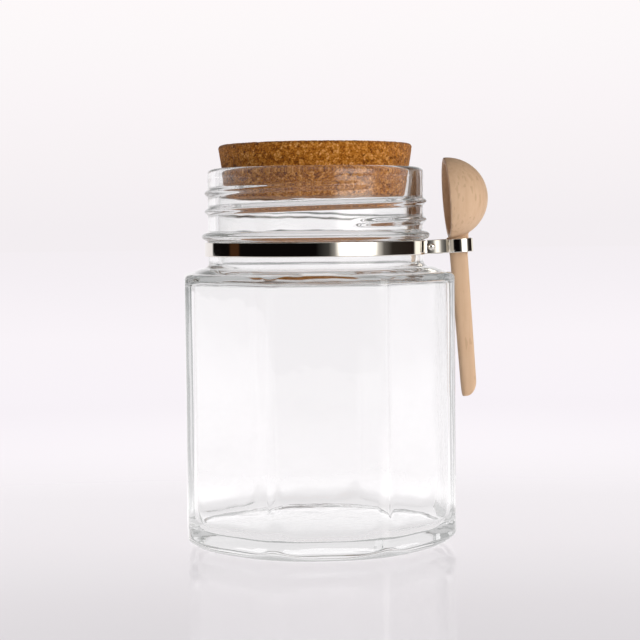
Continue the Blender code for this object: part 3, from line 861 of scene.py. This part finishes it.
def grain_group():
    """The group: a tone for each grain, a mask for the joints, and a fine mottle."""
    group = bpy.data.node_groups.new("crumbs_and_mottle", "ShaderNodeTree")
    group.interface.new_socket("Vector", in_out="INPUT", socket_type="NodeSocketVector")
    group.interface.new_socket("Grain Scale", in_out="INPUT", socket_type="NodeSocketFloat")
    for name in ("Tone", "Joint", "Mottle"):
        group.interface.new_socket(name, in_out="OUTPUT", socket_type="NodeSocketFloat")
    inlet = add_node(group, "NodeGroupInput")
    outlet = add_node(group, "NodeGroupOutput")
    cells = add_node(group, "ShaderNodeTexVoronoi")
    edges = add_node(group, "ShaderNodeTexVoronoi", feature="DISTANCE_TO_EDGE")
    mottle = add_node(group, "ShaderNodeTexNoise", Detail=5.0, Roughness=0.65)
    for node in (cells, edges):
        group.links.new(inlet.outputs["Vector"], node.inputs["Vector"])
        group.links.new(inlet.outputs["Grain Scale"], node.inputs["Scale"])
    group.links.new(inlet.outputs["Vector"], mottle.inputs["Vector"])
    fineness = math_node(group, "MULTIPLY", inlet.outputs["Grain Scale"], MOTTLE_FINENESS)
    group.links.new(fineness, mottle.inputs["Scale"])
    tone = add_node(group, "ShaderNodeSeparateColor")
    group.links.new(cells.outputs["Color"], tone.inputs["Color"])
    joint = add_node(group, "ShaderNodeMapRange", From_Min=0.0, From_Max=JOINT_SHARE, To_Min=1.0, To_Max=0.0)
    group.links.new(edges.outputs["Distance"], joint.inputs["Value"])
    group.links.new(tone.outputs["Red"], outlet.inputs["Tone"])
    group.links.new(joint.outputs["Result"], outlet.inputs["Joint"])
    group.links.new(mottle.outputs["Fac"], outlet.inputs["Mottle"])
    return group


grains = grain_group()


def place_grains(tree, vector, size):
    """The group in a material, for grains of this size in metres."""
    node = tree.nodes.new("ShaderNodeGroup")
    node.node_tree = grains
    node.inputs["Grain Scale"].default_value = 1 / size
    tree.links.new(vector, node.inputs["Vector"])
    return node


print("the group gives", [socket.name for socket in grains.nodes["Group Output"].inputs if socket.name])

# %% The look of cork
COARSE_GRAIN = 0.0010
FINE_GRAIN = 0.00045
COARSE_SHARE = 0.34
FINE_SHARE = 0.40
MOTTLE_SHARE = 0.44
JOINT_DARKNESS = 0.34
JOINT_RELIEF = 0.8
CORK_TONES = (
    (0.00, (0.030, 0.008, 0.001)), (0.22, (0.125, 0.034, 0.003)), (0.46, (0.390, 0.124, 0.010)),
    (0.70, (0.600, 0.236, 0.034)), (1.00, (0.890, 0.500, 0.185)),
)

cork_look, tree, shader = new_look("pressed_cork")
where = add_node(tree, "ShaderNodeTexCoord").outputs["Object"]
coarse = place_grains(tree, where, COARSE_GRAIN)
fine = place_grains(tree, where, FINE_GRAIN)
tone = math_node(tree, "MULTIPLY", coarse.outputs["Tone"], COARSE_SHARE)
tone = math_node(tree, "ADD", tone, math_node(tree, "MULTIPLY", fine.outputs["Tone"], FINE_SHARE))
tone = math_node(tree, "ADD", tone, math_node(tree, "MULTIPLY", coarse.outputs["Mottle"], MOTTLE_SHARE))
joint = math_node(tree, "MULTIPLY", coarse.outputs["Joint"], fine.outputs["Mottle"])
tone = math_node(tree, "SUBTRACT", tone, math_node(tree, "MULTIPLY", joint, JOINT_DARKNESS))
tree.links.new(ramp_node(tree, tone, CORK_TONES), shader.inputs["Base Color"])
shader.inputs["Roughness"].default_value = 0.90
shader.inputs["Specular IOR Level"].default_value = 0.08
shader.inputs["Sheen Weight"].default_value = 0.25
shader.inputs["Sheen Roughness"].default_value = 0.40
sunk = math_node(tree, "MULTIPLY", joint, JOINT_RELIEF)
relief = math_node(tree, "SUBTRACT", fine.outputs["Mottle"], sunk)
bump = add_node(tree, "ShaderNodeBump", Strength=0.6, Distance=0.0003)
tree.links.new(relief, bump.inputs["Height"])
tree.links.new(bump.outputs["Normal"], shader.inputs["Normal"])

# %% The stopper
make_piece("cork_stopper", cork_points, cork_faces, cork_look, "stopper")

# %% [markdown]
# The band and the ring are cut from thin polished steel strip, with rolled edges that catch a fine line
# of light. A curve with a bevel would twist on the tight bends, so each strip is a row of
# little rounded sections set square to its path. The points near the edges keep the flat sides flat
# in the mirror, as smooth shading would otherwise bend them.

# %% The section of the strip
STRIP_THICKNESS = 0.0005
STRIP_WIDTH = 0.0044
STRIP_EDGE = 0.00018
STRIP_EDGE_STEPS = 4
NEAR_EDGE_SHARE = 0.94
CORNER_SIGNS = ((1, 1), (-1, 1), (-1, -1), (1, -1))


def strip_section():
    """(across, up) of the strip's outline, with rounded edges and a point near each end of a flat side."""
    half_t, half_w = STRIP_THICKNESS / 2 - STRIP_EDGE, STRIP_WIDTH / 2 - STRIP_EDGE
    near_edge = NEAR_EDGE_SHARE * half_w
    section = [(STRIP_THICKNESS / 2, -near_edge), (STRIP_THICKNESS / 2, near_edge)]
    for quarter, (a, b) in enumerate(CORNER_SIGNS):
        for step in range(STRIP_EDGE_STEPS + 1):
            angle = math.radians(90 * (quarter + step / STRIP_EDGE_STEPS))
            across_it = a * half_t + STRIP_EDGE * math.cos(angle)
            up_it = b * half_w + STRIP_EDGE * math.sin(angle)
            section.append((across_it, up_it))
        if quarter == 1:
            section += [(-STRIP_THICKNESS / 2, near_edge), (-STRIP_THICKNESS / 2, -near_edge)]
    return section


print("the strip's section has", len(strip_section()), "points")


# %% A strip bent along a line
def strip_rows(line, z_middle):
    """Rings of points along a line in plan, each the strip's section set square to the line."""
    line = np.array([tuple(p) for p in line])
    ahead = np.diff(line, axis=0)
    ahead /= np.linalg.norm(ahead, axis=1)[:, None]
    first, second = np.vstack([ahead[:1], ahead]), np.vstack([ahead, ahead[-1:]])
    along = first + second
    along /= np.linalg.norm(along, axis=1)[:, None]
    stretch = 1 / np.clip((along * first).sum(1), 0.5, 1)
    across = np.column_stack([along[:, 1], -along[:, 0]]) * stretch[:, None]
    rows = [
        np.column_stack([line + across * a, np.full(len(line), z_middle + b)]) for a, b in strip_section()
    ]
    return np.array(rows).transpose(1, 0, 2)


def round_line(centre, radius, start, end, steps):
    """Points in plan on an arc, with angles in radians from +X."""
    angles = np.linspace(start, end, steps + 1)
    return [Vector((centre[0] + radius * math.cos(a), centre[1] + radius * math.sin(a))) for a in angles]


# %% [markdown]
# The steel is bright, faintly warm, and drawn lengthwise: hair-fine lines along the strip that widen
# its reflections a little. The lines could be scratches in a picture. Here they are noise squeezed
# along Z, which drives the roughness and a very low bump and stays sharp at any distance.

# %% The look of polished steel
steel_look, tree, shader = new_look("polished_steel")
shader.inputs["Base Color"].default_value = (0.80, 0.765, 0.71, 1.0)
shader.inputs["Metallic"].default_value = 1.0
where = add_node(tree, "ShaderNodeTexCoord").outputs["Object"]
squeeze = add_node(tree, "ShaderNodeMapping")
squeeze.inputs["Scale"].default_value = (60.0, 60.0, 9000.0)
tree.links.new(where, squeeze.inputs["Vector"])
lines = add_node(tree, "ShaderNodeTexNoise", Scale=1.0, Detail=3.0, Roughness=0.6)
tree.links.new(squeeze.outputs["Vector"], lines.inputs["Vector"])
rough = add_node(tree, "ShaderNodeMapRange", To_Min=0.015, To_Max=0.04)
tree.links.new(lines.outputs["Fac"], rough.inputs["Value"])
tree.links.new(rough.outputs["Result"], shader.inputs["Roughness"])
bump = add_node(tree, "ShaderNodeBump", Strength=0.015, Distance=0.00005)
tree.links.new(lines.outputs["Fac"], bump.inputs["Height"])
tree.links.new(bump.outputs["Normal"], shader.inputs["Normal"])
print("the steel has", len(tree.nodes), "nodes")

# %% [markdown]
# The band goes once round the neck, and both its ends turn out sharply to a flat tab. The spoon's ring
# has two arms that lie over the tab, and a rivet goes through all four strips. The band's path is worked
# out for one end and mirrored. The arms are bowed by a few hundredths of a millimetre, as bent strip
# is, which breaks up what they mirror.

# %% The neck band
BAND_RADIUS = 0.0349
BAND_Z = sum(corner.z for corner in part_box("neck_band")) / 2
BAND_BEND = 0.00055
BAND_BEND_STEPS = 10
BAND_STEPS = 300
TAB_OFFSET = 0.0005
TAB_END_X = 0.0405
TAB_SHARES = (0, 0.3, 0.6)
HOLDER_TURN = Matrix.Rotation(math.radians(7.0), 4, "Z")

bend_y = -TAB_OFFSET - BAND_BEND
bend_x = math.sqrt((BAND_RADIUS + BAND_BEND) ** 2 - bend_y**2)
leave = math.atan2(-bend_y, bend_x)
tab = [Vector((TAB_END_X + (bend_x - TAB_END_X) * s, -TAB_OFFSET)) for s in TAB_SHARES]
half = tab + round_line((bend_x, bend_y), BAND_BEND, math.pi / 2, math.pi - leave, BAND_BEND_STEPS)
back_half = [Vector((p.x, -p.y)) for p in reversed(half)]
circle = round_line((0, 0), BAND_RADIUS, -leave, leave - 2 * math.pi, BAND_STEPS)
band_points, band_faces = skin(strip_rows(half + circle[1:-1] + back_half, BAND_Z))
make_piece("steel_neck_band", band_points, band_faces, steel_look, "neck_band", HOLDER_TURN)

# %% The ring for the spoon
RING_X = 0.0459
RING_RADIUS = 0.00437
ARM_OFFSET = 0.0013
ARM_START_X = 0.0356
ARM_END_SHARE = 0.94
ARM_BOW = 0.00004
ARM_STEPS = 36
RING_STEPS = 96
HOLDER_TILT = math.radians(2.5)
RIVET_X = 0.0368

reach = math.asin(ARM_OFFSET / RING_RADIUS)
loop = round_line((RING_X, 0), RING_RADIUS, math.pi + reach, 3 * math.pi - reach, RING_STEPS)
arm = []
for share in np.linspace(0, ARM_END_SHARE, ARM_STEPS):
    x = ARM_START_X + (loop[0].x - ARM_START_X) * share
    arm.append(Vector((x, -ARM_OFFSET - ARM_BOW * math.sin(2 * math.pi * share))))
ring_line = arm + loop + [Vector((p.x, -p.y)) for p in reversed(arm)]
holder_points, holder_faces = skin(strip_rows(ring_line, BAND_Z))
pivot = Matrix.Translation((RIVET_X, 0, BAND_Z))
tilt = HOLDER_TURN @ pivot @ Matrix.Rotation(-HOLDER_TILT, 4, "Y") @ pivot.inverted()
make_piece("steel_spoon_ring", holder_points, holder_faces, steel_look, "spoon_holder", tilt)

# %% The rivet
RIVET_SHANK = 0.0006
RIVET_HEAD = 0.00112
RIVET_HEAD_HEIGHT = 0.00055
RIVET_HEAD_GAP = 0.0003
RIVET_POINTS = 48
RIVET_UNDERSIDE_SHARE = 0.93
RIVET_RIM_SHARE = 0.15
RIVET_DOME_ANGLES = np.radians(np.linspace(10, 84, 8))

head_y = ARM_OFFSET + STRIP_THICKNESS / 2 + RIVET_HEAD_GAP
dome = [
    (RIVET_SHANK, head_y),
    (RIVET_UNDERSIDE_SHARE * RIVET_HEAD, head_y),
    (RIVET_HEAD, head_y + RIVET_RIM_SHARE * RIVET_HEAD_HEIGHT),
]
for angle in RIVET_DOME_ANGLES:
    dome.append((RIVET_HEAD * math.cos(angle), head_y + RIVET_HEAD_HEIGHT * math.sin(angle)))
pin = [(r, -y) for r, y in reversed(dome)] + dome
turns = np.linspace(0, 2 * math.pi, RIVET_POINTS, endpoint=False)
pin_rows = [
    np.column_stack([RIVET_X + r * np.cos(turns), np.full(RIVET_POINTS, y), BAND_Z + r * np.sin(turns)])
    for r, y in pin
]
pin_points, pin_faces = skin(np.array(pin_rows))
make_piece("steel_rivet", pin_points, pin_faces, steel_look, "rivet", HOLDER_TURN)

# %% [markdown]
# The spoon is turned and cut from one piece of pale beech, then tumbled smooth, so its bowl flows into
# its stick without an edge. Its two simple shapes are set together and wrapped in one even skin with
# a voxel remesh, and a little smoothing then rounds every edge as sanding does.

# %% The bowl
SPOON_CENTRE = Vector((0.0417, 0.0055, 0.1077))
SPOON_LEAN = math.radians(4.0)
SPOON_TURN = math.radians(1.4)
BOWL_DEPTH = 0.0132
BOWL_HALF_WIDTH = 0.0128
BOWL_HALF_HEIGHT = 0.0130
BOWL_WALL = 0.0017
BOWL_STEPS = 26
BOWL_POINTS = 96


def bowl_rows():
    """Rings of half an ellipsoid's shell, open towards -X, from the middle outside to the middle inside."""
    turn = np.linspace(0, 2 * math.pi, BOWL_POINTS, endpoint=False)
    outer = np.array((BOWL_DEPTH, BOWL_HALF_WIDTH, BOWL_HALF_HEIGHT))
    inner = outer - BOWL_WALL
    steps = np.linspace(0, 0.5 * math.pi, BOWL_STEPS)[:-1]
    rows = [(outer, a) for a in reversed(steps)] + [(inner, a) for a in steps]
    rings = []
    for (depth, width, height), a in rows:
        spread = math.cos(a)
        x = np.full(len(turn), depth * math.sin(a))
        rings.append(np.column_stack([x, width * spread * np.cos(turn), height * spread * np.sin(turn)]))
    return np.array(rings)


bowl_points, bowl_faces = skin(bowl_rows())
print("the bowl is", round(2000 * BOWL_HALF_WIDTH, 1), "mm wide")

# %% The stick
HANDLE_X = 0.0026
HANDLE_TOP_Z = -0.0124
HANDLE_TOP_SLOPE = 0.25
HANDLE_TOP_SLOPE_SHARE = 0.05
HANDLE_TOP_SPREAD = 0.0007
HANDLE_TOP_SPREAD_SHARE = 0.12
HANDLE_END_Z = -0.0636
HANDLE_HALF_WIDTH = 0.0029
HANDLE_END_HALF_WIDTH = 0.0025
HANDLE_HALF_DEPTH = 0.0021
HANDLE_SQUARENESS = 0.7
HANDLE_STEPS = 40
HANDLE_POINTS = 48
TIP_LENGTH = 0.0050
TIP_STEPS = 12
TIP_WIDTH_SHARE = 0.25
TIP_DEPTH_SHARE = 0.45
TIP_SHIFT_SHARE = 0.6


def squared(wave):
    """A sine or cosine with fuller shoulders, which makes a circle a little square."""
    return np.sign(wave) * np.abs(wave) ** HANDLE_SQUARENESS


def handle_rows():
    """Rings of the stick, a little narrower downwards, with a slanting rounded end."""
    length = HANDLE_TOP_Z - HANDLE_END_Z
    tip_share = TIP_LENGTH / length
    stations = list(np.linspace(0, 1 - tip_share, HANDLE_STEPS))
    for i in range(1, TIP_STEPS):
        stations.append(1 - tip_share + tip_share * math.sin(0.5 * math.pi * i / TIP_STEPS))
    turn = np.linspace(0, 2 * math.pi, HANDLE_POINTS, endpoint=False)
    side, deep = squared(np.cos(turn)), squared(np.sin(turn))
    rings = []
    for share in stations:
        half_width = HANDLE_HALF_WIDTH + (HANDLE_END_HALF_WIDTH - HANDLE_HALF_WIDTH) * share
        half_width += HANDLE_TOP_SPREAD * (1 - ease(0, 1, share / HANDLE_TOP_SPREAD_SHARE))
        into_tip = max(share - (1 - tip_share), 0) / tip_share
        narrowing = math.sqrt(1 - into_tip**2)
        reach = half_width * (TIP_WIDTH_SHARE + (1 - TIP_WIDTH_SHARE) * narrowing)
        x = HANDLE_X + reach * side - TIP_SHIFT_SHARE * half_width * (1 - narrowing)
        y = HANDLE_HALF_DEPTH * (TIP_DEPTH_SHARE + (1 - TIP_DEPTH_SHARE) * narrowing) * deep
        slope = HANDLE_TOP_SLOPE * (1 - min(share / HANDLE_TOP_SLOPE_SHARE, 1))
        rings.append(np.column_stack([x, y, HANDLE_TOP_Z - length * share + slope * x]))
    return np.array(rings)


stick_points, stick_faces = skin(handle_rows())
print("the stick is", round(1000 * (HANDLE_TOP_Z - HANDLE_END_Z), 1), "mm long")

# %% [markdown]
# Beech is pale and even, with fine fibres along the stick and short dark flecks, the rays, scattered
# through it. A picture of a plank would show its seams on such round shapes, so the finish is worked
# out in space. The fibres are noise drawn out along the stick, and the flecks are grains of the
# same group as the cork's, squeezed thin and kept only where their tone is highest.

# %% The look of beech
FIBRE_SHARE = 0.55
PATCH_SHARE = 0.45
FLECK_SIZE = 0.0007
FLECK_STRENGTH = 0.35
WOOD_TONES = (
    (0.25, (0.668, 0.433, 0.266)), (0.50, (0.736, 0.502, 0.326)), (0.80, (0.786, 0.556, 0.376)),
)
FLECK_COLOUR = (0.48, 0.29, 0.16)

wood_look, tree, shader = new_look("pale_beech")
where = add_node(tree, "ShaderNodeTexCoord").outputs["Object"]
drawn = add_node(tree, "ShaderNodeMapping")
drawn.inputs["Scale"].default_value = (900.0, 900.0, 45.0)
tree.links.new(where, drawn.inputs["Vector"])
fibre = add_node(tree, "ShaderNodeTexNoise", Scale=1.0, Detail=4.0, Roughness=0.55, Distortion=0.3)
tree.links.new(drawn.outputs["Vector"], fibre.inputs["Vector"])
patches = add_node(tree, "ShaderNodeTexNoise", Scale=130.0, Detail=2.0, Roughness=0.5)
tree.links.new(where, patches.inputs["Vector"])
tone = math_node(tree, "MULTIPLY", fibre.outputs["Fac"], FIBRE_SHARE)
tone = math_node(tree, "ADD", tone, math_node(tree, "MULTIPLY", patches.outputs["Fac"], PATCH_SHARE))
plain_wood = ramp_node(tree, tone, WOOD_TONES)
thin = add_node(tree, "ShaderNodeMapping")
thin.inputs["Scale"].default_value = (1.0, 1.0, 0.22)
tree.links.new(where, thin.inputs["Vector"])
rays = place_grains(tree, thin.outputs["Vector"], FLECK_SIZE)
fleck = add_node(tree, "ShaderNodeMapRange", From_Min=0.86, From_Max=0.98)
tree.links.new(rays.outputs["Tone"], fleck.inputs["Value"])
fleck_share = math_node(tree, "MULTIPLY", fleck.outputs["Result"], FLECK_STRENGTH)
tree.links.new(mix_colour(tree, fleck_share, plain_wood, FLECK_COLOUR), shader.inputs["Base Color"])
shader.inputs["Roughness"].default_value = 0.55
shader.inputs["Specular IOR Level"].default_value = 0.28
bump = add_node(tree, "ShaderNodeBump", Strength=0.25, Distance=0.0001)
tree.links.new(fibre.outputs["Fac"], bump.inputs["Height"])
tree.links.new(bump.outputs["Normal"], shader.inputs["Normal"])
print("the beech has", len(tree.nodes), "nodes")

# %% The two shapes of the spoon together
shift = len(bowl_points)
spoon_points = np.vstack([bowl_points, stick_points])
spoon_faces = bowl_faces + [[i + shift for i in face] for face in stick_faces]
rough_mesh = bpy.data.meshes.new("spoon_rough")
rough_mesh.from_pydata([tuple(p) for p in spoon_points], [], spoon_faces)
rough_spoon = bpy.data.objects.new("spoon_rough", rough_mesh)
scene.collection.objects.link(rough_spoon)
builder = bmesh.new()
builder.from_mesh(rough_mesh)
bmesh.ops.recalc_face_normals(builder, faces=builder.faces)
builder.to_mesh(rough_mesh)
builder.free()
print("bowl and stick have", len(rough_mesh.polygons), "faces")

# %% The spoon in one skin
SPOON_VOXEL = 0.00026
SANDING_FACTOR = 0.5
SANDING_PASSES = 5

wrap = rough_spoon.modifiers.new("one skin", "REMESH")
wrap.mode = "VOXEL"
wrap.voxel_size = SPOON_VOXEL
sanding = rough_spoon.modifiers.new("sanding", "SMOOTH")
sanding.factor = SANDING_FACTOR
sanding.iterations = SANDING_PASSES
bpy.context.view_layer.update()
finished = rough_spoon.evaluated_get(bpy.context.evaluated_depsgraph_get()).to_mesh()
sanded_points = [tuple(v.co) for v in finished.vertices]
sanded_faces = [tuple(p.vertices) for p in finished.polygons]
bpy.data.objects.remove(rough_spoon)
spoon_place = Matrix.Translation(SPOON_CENTRE)
spoon_place @= Matrix.Rotation(-SPOON_LEAN, 4, "Y") @ Matrix.Rotation(SPOON_TURN, 4, "Z")
make_piece("beech_spoon", sanded_points, sanded_faces, wood_look, "spoon", spoon_place)
